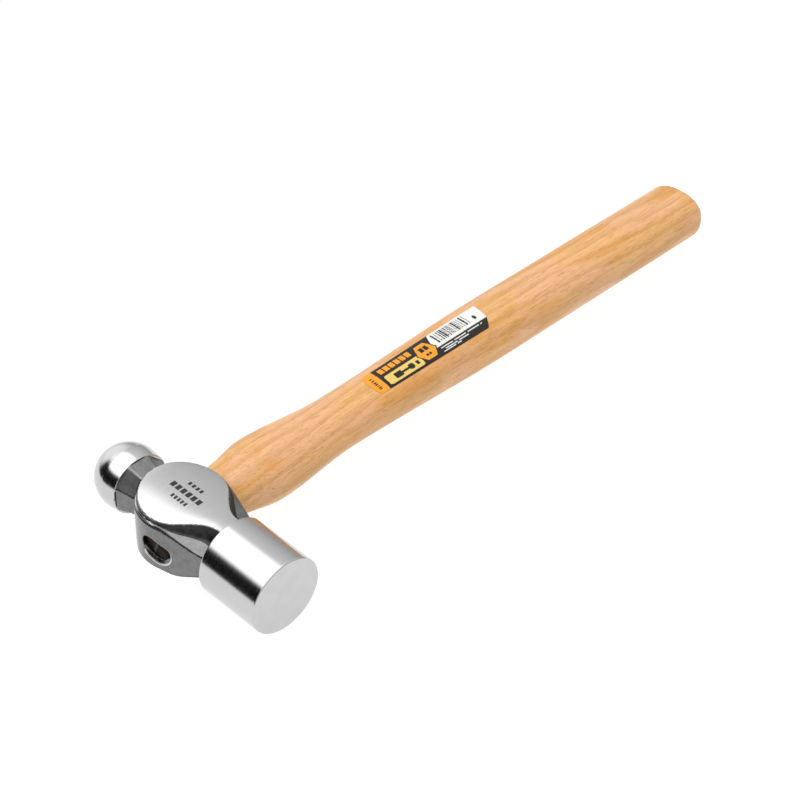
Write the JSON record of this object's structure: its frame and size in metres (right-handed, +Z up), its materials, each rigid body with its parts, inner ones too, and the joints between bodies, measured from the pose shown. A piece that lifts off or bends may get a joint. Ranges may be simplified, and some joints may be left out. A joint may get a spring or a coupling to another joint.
{
  "type": "ball peen hammer",
  "caption": "Ball peen hammer: steel head with a cylindrical striking face, a round ball and an oval eye, wedged onto a long curved wooden handle with a paper-thin sticker.",
  "frame": {"origin": "below the middle of the whole hammer as it lies on its cheek, at its lowest level, which is the lowest line of the face cylinder", "axes": "+X along the head towards the striking face, +Y along the handle towards the butt, +Z up, square to the cheeks"},
  "size_m": [0.1254, 0.3846, 0.0396],
  "materials": {
    "head_steel": "polished face, ball and cheeks, dark satin forged surfaces between them",
    "hickory": "clear satin lacquer over long straight grain",
    "wedge_wood": "end grain darkened by oil",
    "wedge_steel": "plain mill finish, darkened",
    "label_film": "printed film in black, orange, yellow and white"
  },
  "bodies": {
    "root": {"head": "head_steel", "handle": "hickory", "wooden_wedge": "wedge_wood", "steel_wedge": "wedge_steel", "label": "label_film"}
  },
  "joints": []
}
